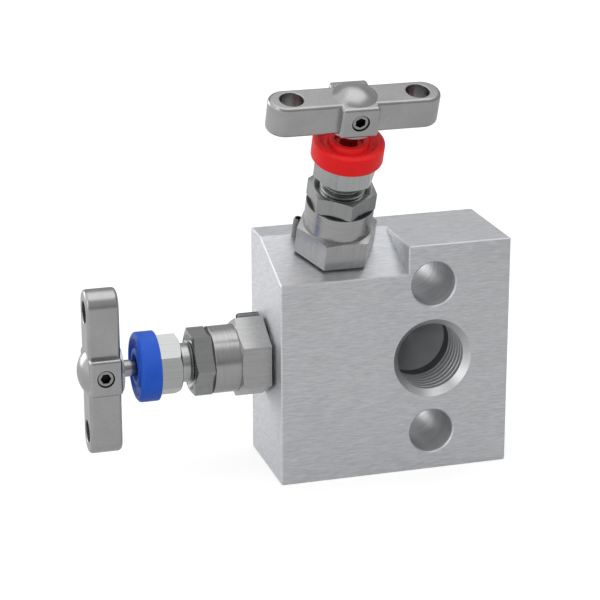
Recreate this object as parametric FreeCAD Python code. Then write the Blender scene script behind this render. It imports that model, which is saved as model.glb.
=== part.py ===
# Two-valve instrument manifold. One block holds an isolating valve on its left face and a
# vent valve on a sloped seat. Lengths are millimetres, angles are degrees.
# Origin: centre of the rear flange face, on the port axis. +Y leaves that face, +Z is up.
import FreeCAD, Part
import math
import os

V = FreeCAD.Vector

# Block
block_width = 63.0
block_depth = 29.0
block_height = 63.0
port_from_left = 41.7
edge_break = 0.3
slope_width = 34.7
slope_angle = 21.0
slope_drop = 7.7

# Rear flange
bolt_pitch = 41.3
bolt_hole_radius = 6.0
bolt_hole_chamfer = 0.35
flange_bore_radius = 6.5
flange_bore_depth = 4.5
ring_inner_radius = 9.7
ring_outer_radius = 12.2
ring_height = 1.65
ring_side_clearance = 0.1
ring_recess = 0.05

# Threads: depth and groove width as shares of the pitch
thread_depth_share = 0.6
thread_groove_share = 0.8

# Hexagons: radius of the turned end face as a share of the flats', and the corners' slope
hex_face_share = 0.965
top_corner_angle = 15.0
under_corner_angle = 30.0

# Taper-thread ports: crest radius, pitch, thread depth, hole depth and mouth radius
process_thread_radius = 9.15
process_thread_pitch = 25.4 / 14
process_thread_length = 12.7
process_hole_depth = 16.5
process_mouth_radius = 10.85
vent_thread_radius = 5.6
vent_thread_pitch = 25.4 / 18
vent_thread_length = 8.5
vent_hole_depth = 12.0
vent_mouth_radius = 6.9
vent_port_from_rear = 10.5
vent_port_height = 12.0
port_groove_share = 0.55
port_taper = 1 / 32
drill_point_angle = 118.0

# Places of the two valves
isolate_from_rear = 13.1
vent_from_left = 18.1
vent_up_slope = 13.5

# Passages
passage_radius = 2.0
outlet_from_rear = 8.0
outlet_depth = 19.5
transfer_radius = 1.6
transfer_start_right = 2.0
transfer_end_offset = 3.7
vent_passage_overrun = 2.1

# Valve bore in the block, depths from the seat face
shoulder_depth = 16.5
seat_depth = 22.0
chamber_radius = 6.4
seat_mouth_radius = 2.7
cone_half_angle = 30.0
bonnet_thread_radius = 8.0
bonnet_thread_pitch = 1.5
bonnet_thread_length = 12.0
bonnet_nose_radius = 7.2
thread_clearance = 0.05
nose_clearance = 0.05

# Bonnet outside
neck_gap = 0.7
neck_radius = 7.6
bonnet_hex = 19.0
bonnet_hex_height = 8.0
barrel_radius = 8.95
barrel_height = 7.1
barrel_chamfer = 0.3

# Bonnet inside
gland_bore_depth = 7.8
packing_bore_radius = 4.5
packing_bore_depth = 7.0
stem_thread_length = 8.0

# Lock pin
pin_radius = 1.25
pin_bore_radius = 0.75
pin_slot = 0.4
pin_hole_depth = 6.0
pin_height = 5.8
pin_side_clearance = 0.05
pin_angle = 130.0
pin_flat_angle = 120.0

# Lock nut
nut_hex = 16.0
nut_height = 5.0
nut_turn = 30.0
nut_countersink_radius = 7.4

# Gland screw
gland_thread_radius = 5.9
gland_thread_pitch = 1.0
gland_relief_radius = 5.2
gland_relief_length = 2.7
gland_hex = 14.6
gland_hex_height = 6.0
gland_spigot_radius = 6.5
gland_spigot_height = 3.3
nut_to_relief = 0.4
gland_engagement = 6.3

# Packing
packing_ring_count = 3
packing_ring_height = 1.25
support_ring_height = 0.8
packing_clearance = 0.03

# Dust cap
cap_radius = 9.3
cap_height = 5.5
cap_rim_radius = 8.3
cap_rim_land = 0.5
cap_rim_drop = 0.55
cap_valley_radius = 6.3
cap_valley_depth = 1.45
cap_valley_rise = 0.35
cap_outer_flank = 0.9
cap_inner_flank = 0.35
cap_collar_outer = 4.9
cap_collar_inner = 3.7
cap_well_depth = 1.2
cap_well_flank = 0.3
cap_collar_rise = 0.1
cap_bottom_chamfer = 0.25

# Stem and needle
stem_radius = 2.25
stem_thread_radius = 3.5
stem_thread_pitch = 1.0
stem_travel = 3.5
running_clearance = 0.05
gland_stem_clearance = 0.1
needle_radius = 4.4
needle_flank_radius = 3.0
needle_tip_radius = 0.8
needle_shank_end = 19.0
seat_gap = 0.03
back_seat_gap = 0.1
swivel_neck_radius = 1.6
swivel_button_radius = 2.4
swivel_button_height = 3.2
swivel_lip = 1.0
swivel_gap = 0.05

# T handle
handle_length = 45.0
handle_width = 9.2
handle_height = 8.6
handle_chamfer = 0.6
handle_hole_pitch = 33.0
handle_hole_radius = 3.0
handle_hole_chamfer = 0.25
hub_length = 10.0
hub_width = 13.6
hub_chamfer = 0.8
hub_boss_radius = 6.0
hub_boss_height = 0.7
dome_radius = 5.7
dome_height = 2.2
stem_bore_roof = 1.2
stem_end_gap = 0.2
handle_stem_clearance = 0.02
cap_to_boss = 3.8

# Set screw
screw_radius = 2.3
screw_clearance = 0.03
screw_recess = 0.35
screw_height = 4.5
screw_socket = 2.5
screw_socket_depth = 1.6
screw_socket_turn = 30.0
screw_point_chamfer = 0.7
screw_chamfer = 0.35
stem_flat_depth = 0.35

# Levels along a valve, measured outwards from its seat face
hex_bottom = neck_gap
hex_top = hex_bottom + bonnet_hex_height
bonnet_top = hex_top + barrel_height
nut_top = bonnet_top + nut_height
relief_bottom = nut_top + nut_to_relief
relief_top = relief_bottom + gland_relief_length
gland_hex_top = relief_top + gland_hex_height
spigot_top = gland_hex_top + gland_spigot_height
cap_top = gland_hex_top + cap_height
boss_bottom = cap_top + cap_to_boss
handle_bottom = boss_bottom + hub_boss_height
handle_top = handle_bottom + handle_height
screw_level = handle_bottom + screw_height
stem_bore_top = handle_top - stem_bore_roof
gland_bore_bottom = bonnet_top - gland_bore_depth
packing_bore_bottom = gland_bore_bottom - packing_bore_depth
stem_thread_bottom = packing_bore_bottom - stem_thread_length
gland_screw_bottom = bonnet_top - gland_engagement
needle_top = stem_thread_bottom - stem_travel - back_seat_gap
nose_bottom = -shoulder_depth

# Block levels and the two seat places
left = -port_from_left
right = left + block_width
front = -block_depth
top = block_height / 2
bottom = -block_height / 2
step_x = left + slope_width
slope_tan = math.tan(math.radians(slope_angle))
slope_front_z = top - slope_drop
slope_end_y = front + slope_drop / slope_tan
vent_x = left + vent_from_left
vent_y = front + vent_up_slope * math.cos(math.radians(slope_angle))
vent_z = slope_front_z + vent_up_slope * math.sin(math.radians(slope_angle))
isolate_y = -isolate_from_rear

# In a valve's own frame +Z leaves the seat, -Y faces the front and the handle lies along X
isolate_place = FreeCAD.Placement(V(left, isolate_y, 0), FreeCAD.Rotation(V(0, 1, 0), -90))
vent_place = FreeCAD.Placement(V(vent_x, vent_y, vent_z), FreeCAD.Rotation(V(1, 0, 0), slope_angle))


def turned(points):
    """A solid of revolution about Z from a closed outline of (radius, height) points."""
    outline = [V(radius, 0, height) for radius, height in points]
    face = Part.Face(Part.makePolygon(outline + outline[:1]))
    return face.revolve(V(0, 0, 0), V(0, 0, 1), 360)


def round_bar(radius, low, high):
    return Part.makeCylinder(radius, high - low, V(0, 0, low))


def drilled(start, end, radius):
    """A drilled hole's space: a cylinder from start to end with the drill's conical point."""
    direction = end.sub(start)
    tip = radius / math.tan(math.radians(drill_point_angle / 2))
    hole = Part.makeCylinder(radius, direction.Length, start, direction)
    return hole.fuse(Part.makeCone(radius, 0, tip, end, direction))


def ridges(crest, root, pitch, low, high, share, taper=0.0):
    """Outline points of V grooves from low to high; taper draws the roots in towards low."""
    count = int((high - low) / pitch)
    groove = pitch * share
    points = []
    for turn in range(count):
        middle = low + (turn + 0.5) * (high - low) / count
        points.append((crest, middle - groove / 2))
        points.append((root - taper * (high - middle), middle))
        points.append((crest, middle + groove / 2))
    return points


def hex_bar(across_flats, low, high, turn, low_angle=0, high_angle=0):
    """A hexagon bar with its corners turned off at the ends that have an angle."""
    corner = across_flats / math.sqrt(3)
    ring = [V(corner * math.cos(math.radians(turn + 60 * k)),
              corner * math.sin(math.radians(turn + 60 * k)), low) for k in range(6)]
    bar = Part.Face(Part.makePolygon(ring + ring[:1])).extrude(V(0, 0, high - low))
    face_radius = hex_face_share * across_flats / 2
    outline = [(0, low)]
    if low_angle:
        rise = (corner - face_radius) * math.tan(math.radians(low_angle))
        outline += [(face_radius, low), (corner, low + rise)]
    else:
        outline += [(corner, low)]
    if high_angle:
        rise = (corner - face_radius) * math.tan(math.radians(high_angle))
        outline += [(corner, high - rise), (face_radius, high)]
    else:
        outline += [(corner, high)]
    outline += [(0, high)]
    return bar.common(turned(outline))


def placed(shape, place):
    moved = shape.copy()
    moved.Placement = place.multiply(shape.Placement)
    return moved


def tapered_port(radius, pitch, thread_length, hole_depth, mouth_radius):
    """Space of a female taper thread: mouth at height 0, hole towards -Z, drill point below."""
    chamfer = mouth_radius - radius
    tip = radius / math.tan(math.radians(drill_point_angle / 2))
    root = radius + thread_depth_share * pitch
    grooves = ridges(radius, root, pitch, -thread_length, -chamfer, port_groove_share, port_taper)
    outline = [(0, 0.5), (mouth_radius + 0.5, 0.5), (radius, -chamfer)]
    outline += list(reversed(grooves))
    outline += [(radius, -hole_depth), (0, -hole_depth - tip)]
    return turned(outline)


def valve_bore():
    """Space that a valve takes in the block, in the valve's own frame."""
    thread = bonnet_thread_radius + thread_clearance
    nose = bonnet_nose_radius + nose_clearance
    cone = (seat_mouth_radius - passage_radius) / math.tan(math.radians(cone_half_angle))
    thread_end = -bonnet_thread_length - bonnet_thread_pitch
    return turned([
        (0, 0.5), (thread + 0.9, 0.5), (thread, -0.4), (thread, thread_end),
        (nose, thread_end - (thread - nose)), (nose, -shoulder_depth),
        (chamber_radius, -shoulder_depth), (chamber_radius, -seat_depth),
        (seat_mouth_radius, -seat_depth), (passage_radius, -seat_depth - cone),
        (0, -seat_depth - cone)])


def pin_axis(side):
    """Foot of the lock pin beside the bonnet's hexagon: side is +1 or -1 along the handle."""
    off_flat = math.radians(pin_angle - pin_flat_angle)
    reach = (bonnet_hex / 2 + pin_side_clearance + pin_radius) / math.cos(off_flat)
    angle = math.radians(pin_angle)
    return V(side * reach * math.sin(angle), -reach * math.cos(angle), 0)


def pin_hole(side):
    foot = pin_axis(side)
    start = V(foot.x, foot.y, 0.5)
    return drilled(start, V(foot.x, foot.y, -pin_hole_depth), pin_radius)


def above_slope():
    """The space above the sloped seat, from the left face to the upright step."""
    spare = 1.0
    outline = [V(left - spare, front - spare, slope_front_z - spare * slope_tan),
               V(left - spare, slope_end_y + spare / slope_tan, top + spare),
               V(left - spare, front - spare, top + spare)]
    face = Part.Face(Part.makePolygon(outline + outline[:1]))
    return face.extrude(V(slope_width + spare, 0, 0))


def make_block():
    body = Part.makeBox(block_width, block_depth, block_height, V(left, front, bottom))
    body = body.cut(above_slope())
    body = body.makeChamfer(edge_break, [edge for edge in body.Edges if outer_edge(edge)])

    # Process port in the front face
    port = tapered_port(process_thread_radius, process_thread_pitch, process_thread_length,
                        process_hole_depth, process_mouth_radius)
    body = body.cut(placed(port, FreeCAD.Placement(V(0, front, 0), FreeCAD.Rotation(V(1, 0, 0), 90))))

    # Rear flange: bore and seal groove
    body = body.cut(Part.makeCylinder(flange_bore_radius, flange_bore_depth,
                                      V(0, -flange_bore_depth, 0), V(0, 1, 0)))
    body = body.cut(rear_ring(ring_inner_radius - ring_side_clearance,
                              ring_outer_radius + ring_side_clearance,
                              ring_height + ring_recess, 0))

    # Two bolt holes, from front to back
    for side in (-1, 1):
        level = side * bolt_pitch / 2
        body = body.cut(Part.makeCylinder(bolt_hole_radius, block_depth, V(0, front, level), V(0, 1, 0)))
        mouth = bolt_hole_radius + bolt_hole_chamfer
        body = body.cut(Part.makeCone(mouth, bolt_hole_radius, bolt_hole_chamfer,
                                      V(0, front, level), V(0, 1, 0)))

    # Valve bores with their lock pin holes
    for place, side in ((isolate_place, 1), (vent_place, -1)):
        body = body.cut(placed(valve_bore(), place))
        body = body.cut(placed(pin_hole(side), place))

    # Seat passage of the isolating valve, into the process port
    inside_port = V(-process_thread_radius / 2, isolate_y, 0)
    body = body.cut(Part.makeCylinder(passage_radius, inside_port.x - left - seat_depth,
                                      V(left + seat_depth, isolate_y, 0), V(1, 0, 0)))

    # Transfer drilling from the flange bore to the isolating valve's chamber
    chamber_middle = left + (shoulder_depth + seat_depth) / 2
    body = body.cut(drilled(V(transfer_start_right, 0, 0),
                            V(chamber_middle, isolate_y + transfer_end_offset, 0), transfer_radius))

    # Seat passage of the vent valve, which breaks into the isolating valve's chamber
    inward = vent_place.Rotation.multVec(V(0, 0, -1))
    foot = V(vent_x, vent_y, vent_z)
    nearest = (isolate_y - foot.y) * inward.y - foot.z * inward.z
    body = body.cut(drilled(foot + inward * seat_depth,
                            foot + inward * (nearest + vent_passage_overrun), passage_radius))

    # Vent outlet: a drilling from the vent valve's chamber to the port in the right face
    port = tapered_port(vent_thread_radius, vent_thread_pitch, vent_thread_length,
                        vent_hole_depth, vent_mouth_radius)
    place = FreeCAD.Placement(V(right, -vent_port_from_rear, vent_port_height),
                              FreeCAD.Rotation(V(0, 1, 0), 90))
    body = body.cut(placed(port, place))
    outlet_z = vent_z - outlet_depth * math.cos(math.radians(slope_angle))
    start = V(right - vent_hole_depth + 1, -outlet_from_rear, outlet_z)
    end = V(vent_x + passage_radius, -outlet_from_rear, outlet_z)
    return body.cut(drilled(start, end, passage_radius))


def outer_edge(edge):
    """True for the block's outer edges that are broken, not those of the sloped seat's corners."""
    middle = edge.valueAt((edge.FirstParameter + edge.LastParameter) / 2)
    on_slope_end = abs(middle.z - top) < 0.01 and abs(middle.y - slope_end_y) < 0.01
    in_corner = abs(middle.x - step_x) < 0.01 and middle.z < top - 0.01 and middle.y > front + 0.01
    return not (on_slope_end or in_corner)


def rear_ring(inner, outer, height, recess):
    """A ring on the port axis whose rear face lies recess below the flange face."""
    start = V(0, -recess - height, 0)
    ring = Part.makeCylinder(outer, height, start, V(0, 1, 0))
    return ring.cut(Part.makeCylinder(inner, height, start, V(0, 1, 0)))


def make_bonnet():
    thread_root = bonnet_thread_radius - thread_depth_share * bonnet_thread_pitch
    thread_low = -bonnet_thread_length
    outside = [(0, nose_bottom), (bonnet_nose_radius - 0.3, nose_bottom),
               (bonnet_nose_radius, nose_bottom + 0.3), (bonnet_nose_radius, thread_low - 0.3),
               (thread_root, thread_low - 0.3)]
    outside += ridges(bonnet_thread_radius, thread_root, bonnet_thread_pitch, thread_low, -0.6,
                      thread_groove_share)
    outside += [(bonnet_thread_radius, -0.6), (neck_radius, -0.6), (neck_radius, hex_bottom + 0.5),
                (0, hex_bottom + 0.5)]
    barrel = turned([(0, hex_bottom + 0.5), (barrel_radius, hex_bottom + 0.5),
                     (barrel_radius, bonnet_top - barrel_chamfer),
                     (barrel_radius - barrel_chamfer, bonnet_top), (0, bonnet_top)])
    body = hex_bar(bonnet_hex, hex_bottom, hex_top, 0, high_angle=top_corner_angle)
    body = body.fuse(turned(outside)).fuse(barrel)
    guide = needle_radius + running_clearance
    thread_bore = stem_thread_radius + running_clearance
    gland_bore = gland_thread_radius + thread_clearance
    inside = [(0, nose_bottom - 1), (guide, nose_bottom - 1), (guide, stem_thread_bottom),
              (thread_bore, stem_thread_bottom), (thread_bore, packing_bore_bottom),
              (packing_bore_radius, packing_bore_bottom), (packing_bore_radius, gland_bore_bottom),
              (gland_bore, gland_bore_bottom), (gland_bore, bonnet_top + 1), (0, bonnet_top + 1)]
    return body.cut(turned(inside)).removeSplitter()


def make_lock_pin(side, slot_turn):
    """Slotted spring pin; slot_turn turns its slot about the pin from the handle's direction."""
    foot = pin_axis(side)
    low = -pin_hole_depth
    high = pin_height
    outside = turned([(0, low), (pin_radius - 0.25, low), (pin_radius, low + 0.7),
                      (pin_radius, high - 0.7), (pin_radius - 0.25, high), (0, high)])
    pin = outside.cut(round_bar(pin_bore_radius, low - 1, high + 1))
    slot = Part.makeBox(2 * pin_radius, pin_slot, high - low + 2, V(0, -pin_slot / 2, low - 1))
    slot.rotate(V(0, 0, 0), V(0, 0, 1), slot_turn)
    pin = pin.cut(slot)
    pin.translate(V(foot.x, foot.y, 0))
    return pin


def make_lock_nut():
    nut = hex_bar(nut_hex, bonnet_top, nut_top, nut_turn, high_angle=top_corner_angle)
    bore = gland_thread_radius + thread_clearance
    sink = nut_countersink_radius - bore
    hole = turned([(0, bonnet_top - 1), (bore + 0.4, bonnet_top - 1), (bore + 0.4, bonnet_top),
                   (bore, bonnet_top + 0.4), (bore, nut_top - sink), (nut_countersink_radius, nut_top),
                   (nut_countersink_radius, nut_top + 1), (0, nut_top + 1)])
    return nut.cut(hole)


def make_gland_screw():
    thread_root = gland_thread_radius - thread_depth_share * gland_thread_pitch
    outline = [(0, gland_screw_bottom), (thread_root, gland_screw_bottom)]
    outline += ridges(gland_thread_radius, thread_root, gland_thread_pitch,
                      gland_screw_bottom + 0.4, relief_bottom, thread_groove_share)
    outline += [(gland_thread_radius, relief_bottom), (gland_relief_radius, relief_bottom + 0.3),
                (gland_relief_radius, relief_top + 0.5), (0, relief_top + 0.5)]
    hexagon = hex_bar(gland_hex, relief_top, gland_hex_top, 0, low_angle=under_corner_angle)
    screw = turned(outline).fuse(hexagon)
    spigot = turned([(0, gland_hex_top - 0.5), (gland_spigot_radius, gland_hex_top - 0.5),
                     (gland_spigot_radius, spigot_top - 0.4), (gland_spigot_radius - 0.4, spigot_top),
                     (0, spigot_top)])
    screw = screw.fuse(spigot)
    bore = stem_radius + gland_stem_clearance
    return screw.cut(round_bar(bore, gland_screw_bottom - 1, spigot_top + 1)).removeSplitter()


def washer(inner, outer, low, high):
    return round_bar(outer, low, high).cut(round_bar(inner, low, high))


def make_packing():
    """The support ring, the stack of packing rings and the follower, from the bottom up."""
    inner = stem_radius + packing_clearance
    outer = packing_bore_radius - packing_clearance
    level = packing_bore_bottom
    support = washer(inner + running_clearance, outer, level, level + support_ring_height)
    level += support_ring_height
    rings = []
    for _ in range(packing_ring_count):
        rings.append(washer(inner, outer, level, level + packing_ring_height))
        level += packing_ring_height
    follower = washer(inner + running_clearance, outer, level, gland_screw_bottom)
    return support, Part.makeCompound(rings), follower


def make_dust_cap():
    bore = gland_spigot_radius + packing_clearance
    lip = stem_radius + gland_stem_clearance
    roof = spigot_top + packing_clearance
    valley = cap_top - cap_valley_depth
    well = cap_top - cap_well_depth
    return turned([
        (bore, gland_hex_top), (cap_radius - cap_bottom_chamfer, gland_hex_top),
        (cap_radius, gland_hex_top + cap_bottom_chamfer), (cap_radius, cap_top - cap_rim_drop),
        (cap_rim_radius, cap_top), (cap_rim_radius - cap_rim_land, cap_top),
        (cap_valley_radius + cap_outer_flank, valley + cap_valley_rise), (cap_valley_radius, valley),
        (cap_collar_outer + cap_inner_flank, valley + cap_valley_rise), (cap_collar_outer, cap_top),
        (cap_collar_inner, cap_top + cap_collar_rise), (cap_collar_inner - cap_well_flank, well),
        (lip, well),
        (lip, roof), (bore, roof)])


def make_needle():
    shank_end = -needle_shank_end
    spread = math.tan(math.radians(cone_half_angle))
    shift = seat_gap / math.sin(math.radians(cone_half_angle))
    flank_level = -seat_depth + (needle_flank_radius - seat_mouth_radius) / spread + shift
    tip_level = -seat_depth - (seat_mouth_radius - needle_tip_radius) / spread + shift
    socket = swivel_button_radius + running_clearance
    socket_top = needle_top - swivel_lip
    socket_floor = socket_top - swivel_button_height - 2 * swivel_gap
    mouth = swivel_neck_radius + running_clearance
    return turned([
        (0, tip_level), (needle_tip_radius, tip_level), (needle_flank_radius, flank_level),
        (needle_radius, shank_end), (needle_radius, needle_top - 0.3), (needle_radius - 0.3, needle_top),
        (mouth, needle_top), (mouth, socket_top), (socket, socket_top), (socket, socket_floor),
        (0, socket_floor)])


def make_stem():
    button_top = needle_top - swivel_lip - swivel_gap
    button_bottom = button_top - swivel_button_height
    thread_low = needle_top + swivel_gap
    thread_high = packing_bore_bottom - stem_travel - 0.9
    thread_root = stem_thread_radius - thread_depth_share * stem_thread_pitch
    high = stem_bore_top - stem_end_gap
    outline = [(0, button_bottom), (swivel_button_radius, button_bottom),
               (swivel_button_radius, button_top), (swivel_neck_radius, button_top),
               (swivel_neck_radius, thread_low), (thread_root, thread_low)]
    outline += ridges(stem_thread_radius, thread_root, stem_thread_pitch,
                      thread_low + 0.3, thread_high, thread_groove_share)
    outline += [(stem_thread_radius, thread_high), (stem_radius, thread_high + 0.7),
                (stem_radius, high - 0.3), (stem_radius - 0.3, high), (0, high)]
    stem = turned(outline)
    flat_low = screw_level - screw_radius - 0.5
    flat = Part.makeBox(4 * stem_radius, stem_radius, high - flat_low + 1,
                        V(-2 * stem_radius, stem_flat_depth - 2 * stem_radius, flat_low))
    return stem.cut(flat)


def end_edges(shape, low, high):
    """Edges that lie in either end plane of an upright solid."""
    found = []
    for edge in shape.Edges:
        heights = [vertex.Z for vertex in edge.Vertexes]
        flat = max(heights) - min(heights) < 0.001
        if flat and min(abs(heights[0] - low), abs(heights[0] - high)) < 0.001:
            found.append(edge)
    return found


def make_handle():
    end = handle_width / 2
    reach = handle_length / 2 - end
    low = handle_bottom
    sides = [Part.makeLine(V(-reach, -end, low), V(reach, -end, low)),
             Part.Arc(V(reach, -end, low), V(reach + end, 0, low), V(reach, end, low)).toShape(),
             Part.makeLine(V(reach, end, low), V(-reach, end, low)),
             Part.Arc(V(-reach, end, low), V(-reach - end, 0, low), V(-reach, -end, low)).toShape()]
    bar = Part.Face(Part.Wire(sides)).extrude(V(0, 0, handle_height))
    bar = bar.makeChamfer(handle_chamfer, end_edges(bar, handle_bottom, handle_top))
    hub = Part.makeBox(hub_length, hub_width, handle_height, V(-hub_length / 2, -hub_width / 2, low))
    hub = hub.makeChamfer(hub_chamfer, hub.Edges)
    ball_radius = (dome_radius ** 2 + dome_height ** 2) / (2 * dome_height)
    ball = Part.makeSphere(ball_radius, V(0, 0, handle_top + dome_height - ball_radius))
    dome = ball.common(round_bar(dome_radius, handle_top - 0.5, handle_top + dome_height))
    handle = bar.fuse(hub).fuse(dome)
    handle = handle.fuse(round_bar(hub_boss_radius, boss_bottom, handle_bottom + 1))
    for side in (-1, 1):
        hole = round_bar(handle_hole_radius, handle_bottom - 1, handle_top + 1)
        for level, outward in ((handle_bottom, -1), (handle_top, 1)):
            rim = Part.makeCone(handle_hole_radius, handle_hole_radius + 2 * handle_hole_chamfer,
                                2 * handle_hole_chamfer, V(0, 0, level - outward * handle_hole_chamfer),
                                V(0, 0, outward))
            hole = hole.fuse(rim)
        hole.translate(V(side * handle_hole_pitch / 2, 0, 0))
        handle = handle.cut(hole)
    handle = handle.cut(round_bar(stem_radius + handle_stem_clearance, boss_bottom - 1, stem_bore_top))
    screw_hole = screw_radius + screw_clearance
    handle = handle.cut(Part.makeCylinder(screw_hole, hub_width / 2 + 1,
                                          V(0, -hub_width / 2 - 1, screw_level), V(0, 1, 0)))
    return handle.removeSplitter()


def make_set_screw():
    """Socket set screw in the front of the hub, bearing on the stem's flat."""
    outer = -hub_width / 2 + screw_recess
    inner = stem_flat_depth - stem_radius - 0.01
    length = inner - outer
    body = turned([(0, 0), (screw_radius - screw_chamfer, 0), (screw_radius, screw_chamfer),
                   (screw_radius, length - screw_point_chamfer),
                   (screw_radius - screw_point_chamfer, length), (0, length)])
    socket = hex_bar(screw_socket, -1, screw_socket_depth, screw_socket_turn)
    body = body.cut(socket)
    return placed(body, FreeCAD.Placement(V(0, outer, screw_level), FreeCAD.Rotation(V(1, 0, 0), -90)))


def save(name, shape):
    shape.exportStep("parts/" + name + ".step")
    print(name, len(shape.Solids), "solid(s)", round(shape.Volume, 2), "mm3", shape.isValid())


os.makedirs("parts", exist_ok=True)
save("valve_block", make_block())
save("flange_seal_ring", rear_ring(ring_inner_radius, ring_outer_radius, ring_height, ring_recess))
support_ring, packing_rings, gland_follower = make_packing()
for valve, place, side, turn in (("isolate", isolate_place, 1, 0), ("vent", vent_place, -1, -90)):
    pieces = {
        "bonnet": make_bonnet(), "lock_pin": make_lock_pin(side, turn), "lock_nut": make_lock_nut(),
        "gland_screw": make_gland_screw(), "packing_support_ring": support_ring,
        "packing_rings": packing_rings, "gland_follower": gland_follower,
        "dust_cap": make_dust_cap(), "needle": make_needle(), "stem": make_stem(),
        "t_handle": make_handle(), "handle_set_screw": make_set_screw()}
    for piece, shape in pieces.items():
        save(valve + "_" + piece, placed(shape, place))
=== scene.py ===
# %% [markdown]
# # An instrument valve manifold in Blender
# A process line screws into the big threaded port, a pressure transmitter is bolted to the back,
# and two needle valves sit between them: the blue one shuts the line off and the red one vents it.
# The solids come from the CAD model as a fixed frame. This lesson dresses them: it gives every
# piece the finish of the real metal or plastic, and models again those whose soft edges the
# solids leave out.

# %% Load the frame
import bpy
import math
from mathutils import Euler, Matrix, Vector


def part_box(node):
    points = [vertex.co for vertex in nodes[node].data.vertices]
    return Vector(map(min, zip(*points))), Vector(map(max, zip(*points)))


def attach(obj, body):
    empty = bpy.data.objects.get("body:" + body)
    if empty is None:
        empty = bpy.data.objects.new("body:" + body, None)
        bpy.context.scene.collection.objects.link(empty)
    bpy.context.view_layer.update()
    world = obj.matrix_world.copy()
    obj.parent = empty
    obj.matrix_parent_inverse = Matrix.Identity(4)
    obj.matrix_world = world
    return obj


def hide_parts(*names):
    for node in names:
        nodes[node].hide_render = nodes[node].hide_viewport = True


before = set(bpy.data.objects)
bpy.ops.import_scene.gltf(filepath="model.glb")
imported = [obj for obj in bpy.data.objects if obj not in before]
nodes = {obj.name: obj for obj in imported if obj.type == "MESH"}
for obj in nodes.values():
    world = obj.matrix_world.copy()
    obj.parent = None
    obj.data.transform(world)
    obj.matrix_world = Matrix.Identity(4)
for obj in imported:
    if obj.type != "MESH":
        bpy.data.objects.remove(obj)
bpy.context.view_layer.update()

# %% [markdown]
# ## Units and the two valves
# The frame is in metres and its origin is the middle of the rear flange. Each valve is the same
# set of pieces, so it is worth having one place for each: where its seat face is and how it is
# turned. In a valve's own frame Z leaves the seat, X runs along the T handle and -Y is its front.
# A matrix keeps both, and the same numbers later centre the patterns of the materials.

# %% Places of the two valves
MM = 0.001
block_low, block_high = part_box("valve_block")
slope_angle = math.radians(21)
valves = {
    "isolate": {"seat": Vector((-41.7, -13.1, 0)) * MM, "turn": Euler((0, math.radians(-90), 0))},
    "vent": {"seat": Vector((-23.6, -16.3967, 28.638)) * MM, "turn": Euler((slope_angle, 0, 0))},
}
for valve in valves.values():
    valve["place"] = Matrix.Translation(valve["seat"]) @ valve["turn"].to_matrix().to_4x4()
print("Block from", [round(v, 4) for v in block_low], "to", [round(v, 4) for v in block_high])

# %% [markdown]
# ## Camera
# The photograph is taken from the front, a little to the left and above, with a long lens, so
# that upright edges stay nearly parallel. The camera's axes are written as a matrix: to its
# right, up, and backwards. Aiming it by hand until the block's corners fell on those of the
# photograph would do the same more slowly.

# %% Set the camera
camera_place = Vector((-0.1873, -0.5372, 0.19695))
look = Vector((0.2696, 0.9093, -0.3170)).normalized()
right = Vector((0.9586, -0.2848, -0.0016)).normalized()
up = (-look).cross(right).normalized()
right = up.cross(-look).normalized()
axes = Matrix((right, up, -look)).transposed().to_4x4()
camera_data = bpy.data.cameras.new("camera")
camera_data.lens = 130.28
camera_data.sensor_width = 36
camera = bpy.data.objects.new("camera", camera_data)
bpy.context.scene.collection.objects.link(camera)
camera.matrix_world = Matrix.Translation(camera_place) @ axes
bpy.context.scene.camera = camera
print("Camera at", [round(v, 3) for v in camera.location], "lens", camera_data.lens)

# %% [markdown]
# ## Nodes and colours
# A material is a small tree of nodes. One function adds a node with its settings and links, and
# the trees below are then read like a recipe. Colours are written as hex values, as a paint
# program shows them, and one function turns them to the linear light that shaders work in. A
# pattern's size is written in millimetres, as long as its marks are on the real piece, and one
# function turns that to the scale of a Mapping node.

# %% Helpers for materials
def linear(hex_colour):
    parts = [int(hex_colour[i:i + 2], 16) / 255 for i in (1, 3, 5)]
    return [p / 12.92 if p <= 0.04045 else ((p + 0.055) / 1.055) ** 2.4 for p in parts] + [1.0]


def marks_of(x, y, z):
    """The scale at which a noise's marks are this long along each axis, in millimetres."""
    return tuple(1 / (size * MM) for size in (x, y, z))


def add(tree, kind, settings=None, links=None):
    """Adds a node. A setting named by a number or by a socket's name fills that socket."""
    node = tree.nodes.new("ShaderNode" + kind)
    for name, value in (settings or {}).items():
        if isinstance(name, int) or name in node.inputs:
            node.inputs[name].default_value = value
        else:
            setattr(node, name, value)
    for name, source in (links or {}).items():
        tree.links.new(source, node.inputs[name])
    return node


def set_tones(ramp, dark, light):
    ramp.color_ramp.elements[0].color = linear(dark)
    ramp.color_ramp.elements[1].color = linear(light)


def new_material(name):
    material = bpy.data.materials.new(name)
    material.use_nodes = True
    material.node_tree.nodes.clear()
    return material, material.node_tree


def dress(names, material):
    for name in names:
        for slot in nodes[name].material_slots:
            slot.material = material
    print(material.name, "on", ", ".join(names))


print("Pure white in linear light:", linear("#FFFFFF"))

# %% [markdown]
# ## Brushed stainless steel of the block
# The block is a piece of stainless bar, milled square and then brushed on a belt, so fine lines
# run along its faces: crosswise on the front, along the depth on the two sides. The belt leaves
# short marks, a few tenths of a millimetre apart and a few millimetres long, so the pattern is a
# noise squeezed across the lines and stretched along them. The front and the sides share one
# squeeze, because their lines both lie level. The top, the slope and the bottom need another
# one, and the normal, which points up or down there, picks it.

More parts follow.
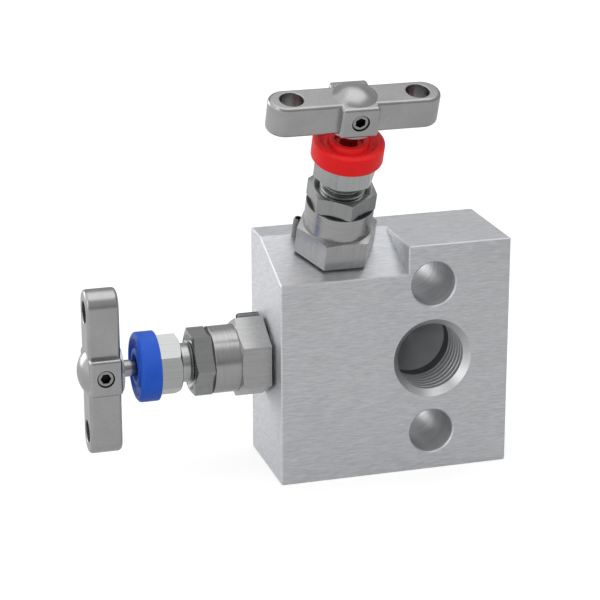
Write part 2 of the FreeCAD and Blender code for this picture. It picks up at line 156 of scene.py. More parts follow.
# %% Draw the brushed lines
line_gap, line_length, up_or_down = 0.35, 3, 0.7
block_steel, tree = new_material("brushed_stainless_steel_block")
coords = add(tree, "TexCoord")
level_map = add(tree, "Mapping", {"Scale": marks_of(line_length, line_length, line_gap)},
                {"Vector": coords.outputs["Object"]})
level_lines = add(tree, "TexNoise", {"Scale": 1.0, "Detail": 4.0, "Roughness": 0.65},
                  {"Vector": level_map.outputs[0]})
top_map = add(tree, "Mapping", {"Scale": marks_of(line_length, line_gap, line_length)},
              {"Vector": coords.outputs["Object"]})
top_lines = add(tree, "TexNoise", {"Scale": 1.0, "Detail": 4.0, "Roughness": 0.65},
                {"Vector": top_map.outputs[0]})
facing = add(tree, "SeparateXYZ", links={0: coords.outputs["Normal"]})
upward = add(tree, "Math", {"operation": "ABSOLUTE"}, {0: facing.outputs["Z"]})
is_top = add(tree, "Math", {"operation": "GREATER_THAN", 1: up_or_down},
             {0: upward.outputs[0]})
lines = add(tree, "Mix", {"data_type": "FLOAT"},
            {0: is_top.outputs[0], 2: level_lines.outputs["Fac"], 3: top_lines.outputs["Fac"]})
print("Brushed lines", line_gap, "mm apart and", line_length, "mm long")

# %% [markdown]
# ## Colour and gloss of the brushed faces
# Stainless steel is a metal with a pale grey colour, and the brushing makes it half rough. Each
# mark is a little paler or darker than the next, and a little smoother or rougher. A soft cloud
# of some 18 mm lies under the marks, because a belt never presses evenly on a large face.

# %% Colour the brushed faces
cloud = add(tree, "TexNoise", {"Scale": 1 / (18 * MM), "Detail": 2.0},
            {"Vector": coords.outputs["Object"]})
line_tone = add(tree, "MapRange", {1: 0.33, 2: 0.67, 3: 0.0, 4: 0.8}, {0: lines.outputs[0]})
tone = add(tree, "Math", {"operation": "MULTIPLY_ADD", 1: 0.2},
           {0: cloud.outputs["Fac"], 2: line_tone.outputs[0]})
brushed = add(tree, "ValToRGB", links={0: tone.outputs[0]})
set_tones(brushed, "#C9CBCE", "#EAECEF")
brushed_gloss = add(tree, "MapRange", {1: 0.3, 2: 0.7, 3: 0.40, 4: 0.52}, {0: lines.outputs[0]})
print("The block's steel has", len(tree.nodes), "nodes so far")

# %% [markdown]
# ## Where the holes are
# The bolt holes and the port were drilled and tapped and never saw the belt, so they have a
# finish of their own. The block is one solid with one material, so the material has to find
# them: a point is in a hole if it is near enough to that hole's axis and between two depths
# below the front. The two bolt holes lie as far above the port as below it, so one height
# without its sign finds both. Their zone starts just below the front, and leaves out the small
# chamfer there, which stays as bright as the faces.

# %% Find the holes
bolt_height, bolt_radius, bolt_start = 20.65, 6.3, 0.3
port_radius, mouth_radius, mouth_start = 10.8, 10.83, 0.02
mouth_end, thread_end, back = 1.7, 12.7, 28.95
place = add(tree, "SeparateXYZ", links={0: coords.outputs["Object"]})
height = add(tree, "Math", {"operation": "ABSOLUTE"}, {0: place.outputs["Z"]})


def hole_zone(level, radius, start, end):
    """1 inside a hole this far above or below the port, between two depths, in millimetres."""
    away = add(tree, "Math", {"operation": "SUBTRACT", 1: level * MM}, {0: height.outputs[0]})
    offset = add(tree, "CombineXYZ", links={0: place.outputs["X"], 1: away.outputs[0]})
    distance = add(tree, "VectorMath", {"operation": "LENGTH"}, {0: offset.outputs[0]})
    near = add(tree, "Math", {"operation": "LESS_THAN", 1: radius * MM},
               {0: distance.outputs["Value"]})
    deep = add(tree, "Math", {"operation": "COMPARE", 1: block_low.y + (start + end) / 2 * MM,
                              2: (end - start) / 2 * MM}, {0: place.outputs["Y"]})
    return add(tree, "Math", {"operation": "MULTIPLY"}, {0: near.outputs[0], 1: deep.outputs[0]})


bolt_holes = hole_zone(bolt_height, bolt_radius, bolt_start, back)
mouth = hole_zone(0.0, mouth_radius, mouth_start, mouth_end)
port = hole_zone(0.0, port_radius, mouth_end, back)
thread = hole_zone(0.0, port_radius, mouth_end, thread_end)
in_hole = add(tree, "Math", {"operation": "MAXIMUM"},
              {0: bolt_holes.outputs[0], 1: port.outputs[0]})
print("Millimetres below the front: mouth to", mouth_end, "and thread to", thread_end)

# %% [markdown]
# ## Finish of the holes
# A drill leaves rings round the hole's axis. They are only a few tenths of a millimetre apart,
# too fine to show here, so they are drawn 1.2 mm apart. The noise is squeezed along the depth,
# which turns it into rings. The port's mouth is a chamfer cut by a sharp tool, so it is
# smoother. Light bounces several times inside a hole and loses some each time, so the bolt holes
# and the thread are given pale colours: painted light that offsets the shade in them. The drilled
# end of the port behind the thread is given darker colours: painted shade deep in the port.

# %% Give the holes their own finish
ring_gap, ring_length = 1.2, 9
ring_map = add(tree, "Mapping", {"Scale": marks_of(ring_length, ring_gap, ring_length)},
               {"Vector": coords.outputs["Object"]})
drill_rings = add(tree, "TexNoise", {"Scale": 1.0, "Detail": 2.0}, {"Vector": ring_map.outputs[0]})
colour, gloss = brushed.outputs[0], brushed_gloss.outputs[0]
# Painted light and shade: the bolt holes and thread are paler and the port's end darker than the
# steel is.
for zone, dark, light, roughness in ((bolt_holes, "#BCBEC0", "#E6E8EA", 0.50),
                                     (mouth, "#CCCED0", "#D8DADC", 0.37),
                                     (port, "#A0A2A4", "#B2B4B6", 0.50),
                                     (thread, "#DADCDE", "#E9EBED", 0.52)):
    ring_tone_with_painted_light = add(tree, "ValToRGB", links={0: drill_rings.outputs["Fac"]})
    set_tones(ring_tone_with_painted_light, dark, light)
    colour = add(tree, "Mix", {"data_type": "RGBA"},
                 {0: zone.outputs[0], 6: colour, 7: ring_tone_with_painted_light.outputs[0]}).outputs[2]
    gloss = add(tree, "Mix", {"data_type": "FLOAT", 3: roughness},
                {0: zone.outputs[0], 2: gloss}).outputs[0]
marks = add(tree, "Mix", {"data_type": "FLOAT"},
            {0: in_hole.outputs[0], 2: lines.outputs[0], 3: drill_rings.outputs["Fac"]})
print("Drill rings", ring_gap, "mm apart")

# %% [markdown]
# ## Flanks of the port's thread
# The solid has the thread as rings with flat crests. The flanks of a real thread slant, and show
# as soft bands of light and dark. A zigzag along the depth, with about one turn for each ring,
# is used as a bump and tilts the light as the flanks do. Pingpong is the Math node that makes a
# zigzag. Outside the thread its height is multiplied by zero, and nothing is tilted.

# %% Slant the thread's flanks
thread_turns = 6
half_turn = (thread_end - mouth_end) / thread_turns / 2 * MM
below_mouth = add(tree, "Math", {"operation": "SUBTRACT", 1: block_low.y + mouth_end * MM},
                  {0: place.outputs["Y"]})
valley = add(tree, "Math", {"operation": "PINGPONG", 1: half_turn}, {0: below_mouth.outputs[0]})
flank = add(tree, "Math", {"operation": "MULTIPLY", 1: -1.0}, {0: valley.outputs[0]})
ridge = add(tree, "Math", {"operation": "MULTIPLY"}, {0: flank.outputs[0], 1: thread.outputs[0]})
flanks = add(tree, "Bump", {"Strength": 1.0, "Distance": 1.0}, {"Height": ridge.outputs[0]})
print("Thread turns", round(2 * half_turn / MM, 2), "mm apart")

# %% [markdown]
# ## Joining the block's steel together
# The brushed lines and the drill rings are a second, very low bump on top of the flanks. Lines
# all run one way, so a reflection spreads much more across them than along them. The shader's
# anisotropy does that: its tangent points across the lines, upright on the front and sides, and
# along the depth on the top and in the holes.

# %% Finish the block's steel
scratch_depth = 0.02
scratch = add(tree, "Bump", {"Strength": 0.6, "Distance": scratch_depth * MM},
              {"Height": marks.outputs[0], "Normal": flanks.outputs[0]})
along_depth = add(tree, "Math", {"operation": "MAXIMUM"},
                  {0: is_top.outputs[0], 1: in_hole.outputs[0]})
upright = add(tree, "Math", {"operation": "SUBTRACT", 0: 1.0}, {1: along_depth.outputs[0]})
across = add(tree, "CombineXYZ", links={1: along_depth.outputs[0], 2: upright.outputs[0]})
shader = add(tree, "BsdfPrincipled", {"Metallic": 1.0, "Anisotropic": 0.5},
             {"Base Color": colour, "Roughness": gloss,
              "Normal": scratch.outputs[0], "Tangent": across.outputs[0]})
add(tree, "OutputMaterial", links={0: shader.outputs[0]})
dress(["valve_block"], block_steel)

# %% [markdown]
# ## Machined steel of the valves' pieces
# Bonnets, nuts, gland screws and stems are turned from hexagon or round bar on a lathe. Where the
# tool has run round, it leaves rings square to the axis. Where the bar's own flats are left, the
# drawing die has left fine lines along the axis. Both are the same noise, squeezed along the axis
# for the rings and around it for the flats, and a test of the height along the axis picks one.
# The pattern has to follow the valve's axis and not the world's, so a Mapping node of the Texture
# type first takes the point back into the valve's own frame. A piece can also be given a level
# above which its steel is painted dark: painted shade where the next piece overhangs it.

# %% A finish for machined pieces
def valve_point(tree, valve):
    """A node that gives each point in the valve's own frame."""
    coords = add(tree, "TexCoord")
    return add(tree, "Mapping", {"vector_type": "TEXTURE", "Location": valve["seat"],
                                 "Rotation": valve["turn"]}, {"Vector": coords.outputs["Object"]})


def machined_steel(name, valve, dark, light, roughness, flats=None, painted_shade_from=None,
                   mark_gap=0.2, mark_height=0.002, mark_length=12):
    """In millimetres: flats is the lowest and highest level of the hexagon's flats."""
    material, tree = new_material(name)
    own = valve_point(tree, valve)
    place = add(tree, "SeparateXYZ", links={0: own.outputs[0]})
    ring_map = add(tree, "Mapping", {"Scale": marks_of(mark_length, mark_length, mark_gap)},
                   {"Vector": own.outputs[0]})
    rings = add(tree, "TexNoise", {"Scale": 1.0, "Detail": 2.0}, {"Vector": ring_map.outputs[0]})
    marks = rings.outputs["Fac"]
    if flats:
        flat_map = add(tree, "Mapping", {"Scale": marks_of(mark_gap, mark_gap, mark_length)},
                       {"Vector": own.outputs[0]})
        drawn = add(tree, "TexNoise", {"Scale": 1.0, "Detail": 2.0},
                    {"Vector": flat_map.outputs[0]})
        on_flats = add(tree, "Math", {"operation": "COMPARE", 1: (flats[0] + flats[1]) / 2 * MM,
                                      2: (flats[1] - flats[0]) / 2 * MM}, {0: place.outputs["Z"]})
        marks = add(tree, "Mix", {"data_type": "FLOAT"},
                    {0: on_flats.outputs[0], 2: marks, 3: drawn.outputs["Fac"]}).outputs[0]
    cloud = add(tree, "TexNoise", {"Scale": 1 / (5 * MM), "Detail": 2.0},
                {"Vector": own.outputs[0]})
    tone = add(tree, "Math", {"operation": "MULTIPLY_ADD", 1: 0.4},
               {0: cloud.outputs["Fac"], 2: marks})
    spread = add(tree, "MapRange", {1: 0.4, 2: 1.0}, {0: tone.outputs[0]})
    bare = add(tree, "ValToRGB", links={0: spread.outputs[0]})
    set_tones(bare, dark, light)
    colour = bare.outputs[0]
    # Painted shade: above this level the steel is painted dark where the next piece overhangs it.
    if painted_shade_from:
        under_nut_painted_shade = add(tree, "Math", {"operation": "GREATER_THAN", 1: painted_shade_from * MM},
                     {0: place.outputs["Z"]})
        colour = add(tree, "Mix", {"data_type": "RGBA", 7: linear("#464647")},
                     {0: under_nut_painted_shade.outputs[0], 6: colour}).outputs[2]
    gloss = add(tree, "MapRange", {1: 0.3, 2: 0.7, 3: roughness - 0.02, 4: roughness + 0.04},
                {0: cloud.outputs["Fac"]})
    relief = add(tree, "Bump", {"Strength": 0.5, "Distance": mark_height * MM}, {"Height": marks})
    shader = add(tree, "BsdfPrincipled", {"Metallic": 1.0},
                 {"Base Color": colour, "Roughness": gloss.outputs[0],
                  "Normal": relief.outputs[0]})
    add(tree, "OutputMaterial", links={0: shader.outputs[0]})
    return material


print("Seats in millimetres:", {name: [round(v / MM, 1) for v in valve["seat"]]
                                for name, valve in valves.items()})

# %% [markdown]
# ## Finishes of the machined pieces
# The bonnet is turned stainless steel of a middle grey, and the top of its barrel, under the
# lock nut, is painted dark: painted shade where the nut overhangs it. The gland screw is brighter,
# because its flats are drawn bar that was hardly touched, and the rings inside the bonnet are the
# same steel. The lock nut is plain steel with a thin oxide skin. The slotted lock pin is rolled
# from spring steel and is the darkest. The stem and the needle are ground, so they are the
# smoothest.

# %% Dress the machined pieces
machined_finishes = (
    # The bonnet's barrel top under the lock nut gets painted shade.
    ("turned_stainless_steel_bonnet_", ["bonnet"], "#A8A8A8", "#B8B8B8", 0.25,
     {"flats": (0.7, 8.7), "painted_shade_from": 15.55}),
    ("oxidised_steel_nut_", ["lock_nut"], "#9A9B9B", "#AAABAB", 0.26, {"flats": (15.8, 20.8)}),
    ("drawn_stainless_steel_gland_", ["gland_screw", "packing_support_ring", "gland_follower"],
     "#B0B1B1", "#C0C1C1", 0.24, {"flats": (23.9, 29.9)}),
    ("rolled_spring_steel_pin_", ["lock_pin"], "#757576", "#8A8A8B", 0.28, {"mark_height": 0.003}),
    ("ground_stainless_steel_stem_", ["stem", "needle"], "#9C9C9F", "#AAAAAD", 0.18,
     {"mark_gap": 0.15}),
)
for name, valve in valves.items():
    for steel, pieces, dark, light, roughness, details in machined_finishes:
        dress([name + "_" + piece for piece in pieces],
              machined_steel(steel + name, valve, dark, light, roughness, **details))

# %% [markdown]
# ## Blackened steel of the set screws
# A set screw is bought ready made: alloy steel, hardened and blackened. The key and the lathe have
# left its end bare and fairly bright, and its socket stays black. The screw lies across the
# handle, so a test of the depth behind its end, along the valve's Y, tells one from the other.

# %% Make the set screws' steel and dress them
screw_end, bare_depth = -6.45, 0.2


def blackened_steel(name, valve):
    material, tree = new_material(name)
    own = valve_point(tree, valve)
    place = add(tree, "SeparateXYZ", links={0: own.outputs[0]})
    in_socket = add(tree, "Math", {"operation": "GREATER_THAN", 1: (screw_end + bare_depth) * MM},
                    {0: place.outputs["Y"]})
    wear = add(tree, "TexNoise", {"Scale": 1 / (0.5 * MM), "Detail": 2.0},
               {"Vector": own.outputs[0]})
    bare = add(tree, "ValToRGB", links={0: wear.outputs["Fac"]})
    set_tones(bare, "#919192", "#B4B4B5")
    colour = add(tree, "Mix", {"data_type": "RGBA", 7: linear("#2B2B2D")},
                 {0: in_socket.outputs[0], 6: bare.outputs[0]})
    gloss = add(tree, "MapRange", {3: 0.30, 4: 0.50}, {0: in_socket.outputs[0]})
    shader = add(tree, "BsdfPrincipled", {"Metallic": 1.0},
                 {"Base Color": colour.outputs[2], "Roughness": gloss.outputs[0]})
    add(tree, "OutputMaterial", links={0: shader.outputs[0]})
    return material


for name, valve in valves.items():
    dress([name + "_handle_set_screw"], blackened_steel("blackened_steel_screw_" + name, valve))

# %% [markdown]
# ## Satin steel of the T handles
# The handles are machined all over and then blasted with fine grit, which leaves a satin grey with
# no direction and a faint grain. The grit is 0.1 mm, too fine to show here, so the grain is drawn
# at 0.35 mm. The satin is even on every side, so no anisotropy is set, and the roughness is about
# that of the turned pieces.

# %% Make the handles' steel
grain_size = 0.35


def satin_steel(name, valve):
    material, tree = new_material(name)
    own = valve_point(tree, valve)
    grain = add(tree, "TexNoise", {"Scale": 1 / (grain_size * MM), "Detail": 2.0},
                {"Vector": own.outputs[0]})
    cloud = add(tree, "TexNoise", {"Scale": 1 / (7 * MM), "Detail": 3.0},
                {"Vector": own.outputs[0]})
    tone = add(tree, "Math", {"operation": "MULTIPLY_ADD", 1: 0.6},
               {0: grain.outputs["Fac"], 2: cloud.outputs["Fac"]})
    spread = add(tree, "MapRange", {1: 0.55, 2: 1.05}, {0: tone.outputs[0]})
    colour = add(tree, "ValToRGB", links={0: spread.outputs[0]})
    set_tones(colour, "#A8A8A9", "#B5B5B6")
    gloss = add(tree, "MapRange", {1: 0.3, 2: 0.7, 3: 0.24, 4: 0.29}, {0: cloud.outputs["Fac"]})
    relief = add(tree, "Bump", {"Strength": 0.3, "Distance": 0.01 * MM},
                 {"Height": grain.outputs["Fac"]})
    shader = add(tree, "BsdfPrincipled", {"Metallic": 1.0},
                 {"Base Color": colour.outputs[0], "Roughness": gloss.outputs[0],
                  "Normal": relief.outputs[0]})
    add(tree, "OutputMaterial", links={0: shader.outputs[0]})
    return material


print("Grain of the satin steel", grain_size, "mm")

# %% [markdown]
# ## Moulded plastic of the dust caps, and PTFE
# The coloured caps are injection-moulded polyethylene: one even colour, a soft shine, and a skin
# that is never quite flat. Their colour is in the plastic and not a paint, so only the smallest
# change of tone runs through it. PTFE is the white, waxy plastic of the seal ring and the packing.

# %% Make the plastics
def moulded_plastic(name, dark, light, roughness):
    material, tree = new_material(name)
    coords = add(tree, "TexCoord")
    cloud = add(tree, "TexNoise", {"Scale": 1 / (6 * MM), "Detail": 2.0},
                {"Vector": coords.outputs["Object"]})
    skin = add(tree, "TexNoise", {"Scale": 1 / (0.8 * MM), "Detail": 2.0},
               {"Vector": coords.outputs["Object"]})
    colour = add(tree, "ValToRGB", links={0: cloud.outputs["Fac"]})
    colour.color_ramp.elements[0].position = 0.3
    colour.color_ramp.elements[1].position = 0.7
    set_tones(colour, dark, light)
    gloss = add(tree, "MapRange", {1: 0.3, 2: 0.7, 3: roughness - 0.04, 4: roughness + 0.05},
                {0: skin.outputs["Fac"]})
    relief = add(tree, "Bump", {"Strength": 0.25, "Distance": 0.02 * MM},
                 {"Height": skin.outputs["Fac"]})
    shader = add(tree, "BsdfPrincipled", {"Metallic": 0.0, "IOR": 1.5, "Specular IOR Level": 0.25},
                 {"Base Color": colour.outputs[0], "Roughness": gloss.outputs[0],
                  "Normal": relief.outputs[0]})
    add(tree, "OutputMaterial", links={0: shader.outputs[0]})
    return material


cap_plastic = {"isolate": moulded_plastic("moulded_blue_polyethylene", "#1B54C6", "#2560D2", 0.42),
               "vent": moulded_plastic("moulded_red_polyethylene", "#EE1419", "#F81C20", 0.42)}
ptfe = moulded_plastic("turned_white_ptfe", "#E2E2DD", "#F0F0EC", 0.45)
dress(["flange_seal_ring", "isolate_packing_rings", "vent_packing_rings"], ptfe)

# %% [markdown]
# ## Modelling by hand, in code
# The next pieces are drawn as they would be by hand: a primitive, then selections and edit
# operators. They are drawn in millimetres about the valve's own axis, with the same levels as the
# solids have, and one matrix at the end shrinks them to metres and stands them on their seat.
# Selections are made by place, because nothing can be clicked in a script.

# %% Helpers for selecting and softening edges
def only(piece):
    bpy.ops.object.select_all(action="DESELECT")
    piece.select_set(True)
    bpy.context.view_layer.objects.active = piece


def pick_edges(piece, test):
    """Opens the piece in edit mode with those edges selected whose two ends pass the test."""
    only(piece)
    bpy.context.tool_settings.mesh_select_mode = (False, True, False)
    mesh = piece.data
    for group in (mesh.vertices, mesh.edges, mesh.polygons):
        for part in group:
            part.select = False
    picked = 0
    for edge in mesh.edges:
        ends = [mesh.vertices[i].co for i in edge.vertices]
        edge.select = test(*ends)
        picked += edge.select
    bpy.ops.object.mode_set(mode="EDIT")
    return picked


def soften(piece, test, width, steps):
    picked = pick_edges(piece, test)
    bpy.ops.mesh.bevel(offset=width, segments=steps, affect="EDGES")
    bpy.ops.object.mode_set(mode="OBJECT")
    print(piece.name, "softened edges:", picked)


print("Objects that loading the frame left selected:", len(bpy.context.selected_objects))

# %% [markdown]
# ## Boxes, bars, joining and cutting
# A handle is a few plain bodies joined together, with holes cut from them. The Boolean modifier
# does both. The last helper puts a finished piece on its valve, hangs it under the body that it
# rides on, gives it its finish and hides the solid that it stands for.

# %% Helpers for building pieces
def box_piece(name, size, centre):
    bpy.ops.object.select_all(action="DESELECT")
    bpy.ops.mesh.primitive_cube_add(size=1, location=centre)
    piece = bpy.context.object
    piece.name = name
    piece.scale = size
    bpy.ops.object.transform_apply(location=True, rotation=True, scale=True)
    return piece


def rod_piece(name, radius, start, end):
    """A round bar between two points, to add to a piece or to cut from it."""
    run = Vector(end) - Vector(start)
    bpy.ops.object.select_all(action="DESELECT")
    bpy.ops.mesh.primitive_cylinder_add(vertices=72, radius=radius, depth=run.length,
                                        location=(Vector(start) + Vector(end)) / 2,
                                        rotation=run.to_track_quat("Z", "Y").to_euler())
    piece = bpy.context.object
    piece.name = name
    bpy.ops.object.transform_apply(location=True, rotation=True, scale=True)
    return piece


def combine(piece, other, operation):
    only(piece)
    step = piece.modifiers.new("combine", "BOOLEAN")
    step.operation = operation
    step.solver = "EXACT"
    step.object = other
    bpy.ops.object.modifier_apply(modifier=step.name)
    bpy.data.objects.remove(other)


def stand_on_seat(piece, valve_name, body, slot, material, *stood_for):
    """Shrinks a piece to metres, puts it on its valve, gives it its material, hangs it under its
    body and hides the solids that it stands for.
    """
    piece.data.transform(valves[valve_name]["place"] @ Matrix.Scale(MM, 4))
    piece.data.materials.clear()
    piece.data.materials.append(material)
    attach(piece, body)
    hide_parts(*stood_for)
    print(piece.name, "has", len(piece.data.polygons), "faces and rides on", body)


print("A millimetre of a drawn piece is", MM, "m in the frame")

# %% [markdown]
# ## The T handle's bar and hub
# The bar is 45 mm long with round ends. A box with its four upright edges bevelled by half its
# width becomes just that: a hair is left between the bevels, so that they never meet. Its long
# edges are then softened by 1 mm, which on the real handle catches the light as a bright line.
# The hub is a second box across the middle, with all its edges softened.

# %% Model the bar and the hub
bar_length, bar_width, bar_low, bar_high = 45.0, 9.2, 39.9, 48.5
hub_length, hub_width, hair = 10.0, 13.6, 0.03
bar_height, bar_middle = bar_high - bar_low, (bar_low + bar_high) / 2
handle = box_piece("isolate_t_handle_satin", (bar_length, bar_width, bar_height),
                   (0, 0, bar_middle))
soften(handle, lambda a, b: abs(a.z - b.z) > 1, bar_width / 2 - hair, 14)
for edge_level in (bar_high, bar_low):
    soften(handle, lambda a, b: max(abs(p.z - edge_level) for p in (a, b)) < 0.01, 1.0, 4)
hub = box_piece("hub", (hub_length, hub_width, bar_height), (0, 0, bar_middle))
soften(hub, lambda a, b: True, 0.9, 3)
combine(handle, hub, "UNION")

# %% [markdown]
# ## The handle's dome and boss
# A shallow dome closes the top of the hub over the stem's end. It is the cap of a ball, cut off
# with bisect a little below the hub's top, so that the two overlap where they join. The boss
# under the hub is a short round bar.

# %% Add the dome and the boss
dome_radius, dome_height, overlap = 5.7, 2.2, 0.2
boss_radius, boss_low, boss_high = 6.0, 39.2, 41.0
ball_radius = (dome_radius ** 2 + dome_height ** 2) / (2 * dome_height)
bpy.ops.object.select_all(action="DESELECT")
bpy.ops.mesh.primitive_uv_sphere_add(segments=96, ring_count=72, radius=ball_radius,
                                     location=(0, 0, bar_high + dome_height - ball_radius))
dome = bpy.context.object
bpy.ops.object.transform_apply(location=True, rotation=True, scale=True)
bpy.ops.object.mode_set(mode="EDIT")
bpy.ops.mesh.select_all(action="SELECT")
bpy.ops.mesh.bisect(plane_co=(0, 0, bar_high - overlap), plane_no=(0, 0, 1), clear_inner=True,
                    use_fill=True)
bpy.ops.object.mode_set(mode="OBJECT")
combine(handle, dome, "UNION")
combine(handle, rod_piece("boss", boss_radius, (0, 0, boss_low), (0, 0, boss_high)), "UNION")
print("Dome cut from a ball of radius", round(ball_radius, 2), "mm")

# %% [markdown]
# ## The handle's holes
# The two end holes, the bore for the stem and the hole for the set screw are cut from the handle
# as a drill would cut them, with round bars that reach past its faces. The rims of the end holes
# are then softened, so that they don't cut the lock wire or the hand.

# %% Cut the holes
hole_radius, hole_offset, under, over = 3.0, 16.5, 38, 50
bore_radius, bore_top, screw_hole_radius, screw_level = 2.27, 47.3, 2.33, 44.4
for x in (-hole_offset, hole_offset):
    combine(handle, rod_piece("hole", hole_radius, (x, 0, under), (x, 0, over)), "DIFFERENCE")
combine(handle, rod_piece("stem_bore", bore_radius, (0, 0, under), (0, 0, bore_top)), "DIFFERENCE")
combine(handle, rod_piece("screw_hole", screw_hole_radius, (0, -8, screw_level),
                          (0, 0, screw_level)), "DIFFERENCE")


def on_hole_rim(a, b):
    reach = [math.hypot(abs(p.x) - hole_offset, p.y) for p in (a, b)]
    on_circle = max(abs(r - hole_radius) for r in reach) < 0.02
    level = min(abs(a.z - bar_high), abs(a.z - bar_low))
    return on_circle and abs(a.z - b.z) < 0.01 and level < 0.01


soften(handle, on_hole_rim, 0.3, 3)

# %% [markdown]
# ## Shading the handle and copying it to the other valve
# Faces smooth into each other where they meet at less than 30 degrees, and weighted normals keep
# the large flat faces flat beside their soft edges. The second handle is a copy with its own mesh.

# %% Smooth, copy and place the handles
def copy_piece(piece, name):
    """A copy with its own mesh."""
    twin = piece.copy()
    twin.data = piece.data.copy()
    twin.name = name
    bpy.context.scene.collection.objects.link(twin)
    return twin


only(handle)
bpy.ops.object.shade_smooth_by_angle(angle=math.radians(30))
weights = handle.modifiers.new("flat faces", "WEIGHTED_NORMAL")
weights.keep_sharp = True
bpy.ops.object.modifier_apply(modifier=weights.name)
second = copy_piece(handle, "vent_t_handle_satin")
for name, piece in (("isolate", handle), ("vent", second)):
    stand_on_seat(piece, name, name + "_stem", "handle_steel",
                  satin_steel("blasted_stainless_steel_handle_" + name, valves[name]),
                  name + "_t_handle")

# %% [markdown]
# ## The dust caps
# Each cap is a moulded ring that snaps over the gland screw and keeps dirt from the stem. Its top
# has a rim, a valley and a collar round the stem. It is drawn as a potter would: one circle,
# pulled up and in from ring to ring by extrude and resize, until the last ring meets the first.

# %% Model the cap
# Each ring is a radius and a level, from the inner edge of the underside round to the same edge.
cap_rings = [(6.53, 29.9), (9.3, 29.9), (9.3, 34.75), (8.45, 35.4), (7.7, 35.4), (7.05, 34.3),
             (6.4, 33.95), (5.5, 34.15), (4.95, 35.35), (3.75, 35.45), (3.4, 34.2), (2.35, 34.2),
             (2.35, 33.23), (6.53, 33.23), (6.53, 29.9)]
bpy.ops.object.select_all(action="DESELECT")
bpy.ops.mesh.primitive_circle_add(vertices=96, radius=cap_rings[0][0],
                                  location=(0, 0, cap_rings[0][1]))
cap = bpy.context.object
cap.name = "isolate_dust_cap_moulded"
bpy.ops.object.transform_apply(location=True, rotation=True, scale=True)
bpy.ops.object.mode_set(mode="EDIT")
bpy.ops.mesh.select_all(action="SELECT")
for (radius, level), (next_radius, next_level) in zip(cap_rings, cap_rings[1:]):
    bpy.ops.mesh.extrude_region_move(TRANSFORM_OT_translate={"value": (0, 0, next_level - level)})
    grow = next_radius / radius
    bpy.ops.transform.resize(value=(grow, grow, 1), center_override=(0, 0, next_level))
bpy.ops.mesh.select_all(action="SELECT")
bpy.ops.mesh.remove_doubles(threshold=0.001)
bpy.ops.mesh.normals_make_consistent(inside=False)
bpy.ops.object.mode_set(mode="OBJECT")
print("The cap has", len(cap.data.polygons), "faces")

# %% [markdown]
# ## The caps' soft rims
# A mould has no sharp edges, so the outer rims are softened. They are found by the radius and the
# level of the rings that they lie on. The red cap is a copy of the blue one with its own plastic.

# %% Soften, copy and place the caps
soft_rims = ((9.3, 29.9), (9.3, 34.75), (8.45, 35.4), (7.7, 35.4), (4.95, 35.35), (3.75, 35.45))


def on_soft_rim(a, b):
    spots = [(math.hypot(p.x, p.y), p.z) for p in (a, b)]
    return any(all(math.dist(spot, rim) < 0.02 for spot in spots) for rim in soft_rims)


soften(cap, on_soft_rim, 0.28, 3)
only(cap)
bpy.ops.object.shade_smooth_by_angle(angle=math.radians(35))
second_cap = copy_piece(cap, "vent_dust_cap_moulded")
for name, piece, slot in (("isolate", cap, "cap_blue"), ("vent", second_cap, "cap_red")):
    stand_on_seat(piece, name, "manifold", slot, cap_plastic[name], name + "_dust_cap")

# %% [markdown]
# ## Floor
# The photograph shows the object free on white. The floor here is a plain pale plane under the
# block, so that the object keeps a faint shadow. It scatters the lamps' light, and for the camera
# it also glows a little, so that it comes out white outside the shadow. In reflections it glows
# less, and less still towards the right, where the photograph's steel mirrors a darker room: that
# fade is painted light, seen only in reflections.

# %% Lay the floor
floor_low = block_low.z
glow_strength, fade_half_width, left_share, right_share = 0.62, 0.25, 0.42, 0.12
bpy.ops.object.select_all(action="DESELECT")
bpy.ops.mesh.primitive_plane_add(size=6, location=(0, 0, 0))
floor = bpy.context.object
floor.name = "floor"
floor.data.transform(Matrix.Translation((0, 0, floor_low)))
paper, tree = new_material("white_paper_floor")
path = add(tree, "LightPath")
straight = add(tree, "Math", {"operation": "MAXIMUM"},
               {0: path.outputs["Is Camera Ray"], 1: path.outputs["Is Transmission Ray"]})
coords = add(tree, "TexCoord")
place = add(tree, "SeparateXYZ", links={0: coords.outputs["Object"]})
# Painted light: in reflections the floor's glow fades from left to right.
painted_reflection_fade = add(tree, "MapRange", {1: -fade_half_width, 2: fade_half_width, 3: left_share,
                                  4: right_share}, {0: place.outputs["X"]})
seen = add(tree, "Math", {"operation": "MULTIPLY_ADD"},
           {0: path.outputs["Is Glossy Ray"], 1: painted_reflection_fade.outputs[0], 2: straight.outputs[0]})
glow = add(tree, "Math", {"operation": "MULTIPLY", 1: glow_strength}, {0: seen.outputs[0]})
scatter = add(tree, "BsdfDiffuse", {"Color": linear("#B8B8B8")})
shine = add(tree, "Emission", {"Color": linear("#FFFFFF")}, {"Strength": glow.outputs[0]})
both = add(tree, "AddShader", links={0: scatter.outputs[0], 1: shine.outputs[0]})
add(tree, "OutputMaterial", links={0: both.outputs[0]})
floor.data.materials.append(paper)
print("Floor at", round(floor_low, 4))

# %% [markdown]
# ## White world
# The world does what the floor does: to the camera, in reflections and through glass it is pure
# white, and the light that it sends to the object is a little weaker.

# %% Light the world
light_level = 0.88
world = bpy.data.worlds.new("white studio")
world.use_nodes = True
tree = world.node_tree
tree.nodes.clear()
path = add(tree, "LightPath")
seen = add(tree, "Math", {"operation": "MAXIMUM"},
           {0: path.outputs["Is Camera Ray"], 1: path.outputs["Is Glossy Ray"]})
seen = add(tree, "Math", {"operation": "MAXIMUM"},
           {0: seen.outputs[0], 1: path.outputs["Is Transmission Ray"]})
level = add(tree, "MapRange", {3: light_level, 4: 1.0}, {0: seen.outputs[0]})
sky = add(tree, "Background", {"Color": linear("#FFFFFF")}, {"Strength": level.outputs[0]})
add(tree, "OutputWorld", links={0: sky.outputs[0]})
bpy.context.scene.world = world
print("World lights the object at", light_level)
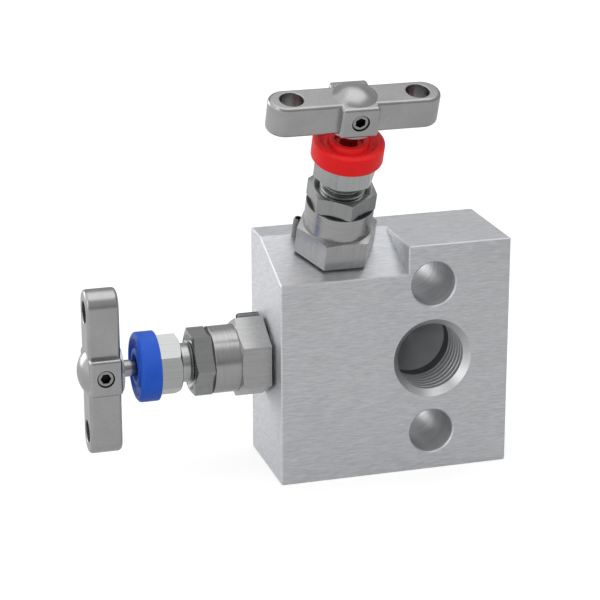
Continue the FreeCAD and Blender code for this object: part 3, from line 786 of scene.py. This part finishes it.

# %% [markdown]
# ## Dark screen
# Bare steel has no look of its own: it shows what stands around it, and in an all-white room it
# turns flat. A photographer stands dark screens round it, out of the picture, so that its curves
# get dark bands beside the bright ones. This one is a strip of a wide cylinder, open on the left,
# and it turns paler towards its top, so that the bands have a soft edge. Its tone is a dim glow:
# painted light that stands in for a darker room.
# Only reflections see it: it takes no light from the object or the floor.

# %% Stand the screen
screen_radius, screen_height, screen_back = 1.3, 1.9, 0.2
opening = -0.7 * screen_radius
fade_height, low_tone, high_tone = 0.5, 0.22, 0.48
bpy.ops.object.select_all(action="DESELECT")
bpy.ops.mesh.primitive_cylinder_add(vertices=96, radius=screen_radius, depth=screen_height,
                                    end_fill_type="NOTHING",
                                    location=(0, screen_back, floor_low + screen_height / 2))
screen = bpy.context.object
screen.name = "dark_screen"
bpy.ops.object.transform_apply(location=True, rotation=True, scale=True)
pick_edges(screen, lambda a, b: max(a.x, b.x) < opening)
bpy.ops.mesh.delete(type="VERT")
bpy.ops.object.mode_set(mode="OBJECT")
glowing_screen_material, tree = new_material("dim_glowing_screen")
coords = add(tree, "TexCoord")
place = add(tree, "SeparateXYZ", links={0: coords.outputs["Object"]})
paler = add(tree, "MapRange", {1: floor_low, 2: floor_low + fade_height, 3: low_tone,
                               4: high_tone}, {0: place.outputs["Z"]})
# Painted light: the screen glows dimly, paler towards its top.
screen_glow = add(tree, "Emission", {"Color": linear("#FFFFFF")}, {"Strength": paler.outputs[0]})
add(tree, "OutputMaterial", links={0: screen_glow.outputs[0]})
screen.data.materials.append(glowing_screen_material)
screen.visible_camera = False
screen.visible_diffuse = False
screen.visible_shadow = False
print("Screen with", len(screen.data.polygons), "faces")

# %% [markdown]
# ## Lamps
# Three large, soft lamps: one above, a stronger one in front on the left, and one low behind on
# the left, which draws bright lines on the edges that it grazes.

# %% Hang the lamps
def soft_lamp(name, place, target, side, power):
    data = bpy.data.lights.new(name, "AREA")
    data.size = side
    data.energy = power
    lamp = bpy.data.objects.new(name, data)
    lamp.location = place
    lamp.rotation_euler = (Vector(target) - Vector(place)).to_track_quat("-Z", "Y").to_euler()
    bpy.context.scene.collection.objects.link(lamp)
    print(name, "at", place, "with", power, "W")


middle = (-0.03, -0.015, 0.01)
soft_lamp("lamp_above", (0.1, -0.12, 0.95), middle, 0.9, 1.2)
soft_lamp("lamp_left", (-1.2, -1.0, 0.9), middle, 1.2, 3.5)
soft_lamp("lamp_back", (-0.75, 0.85, 0.28), middle, 0.6, 2.5)

# %% [markdown]
# ## Picture settings
# The Standard view transform shows colours as they are written.

# %% Finish
bpy.context.scene.view_settings.view_transform = "Standard"
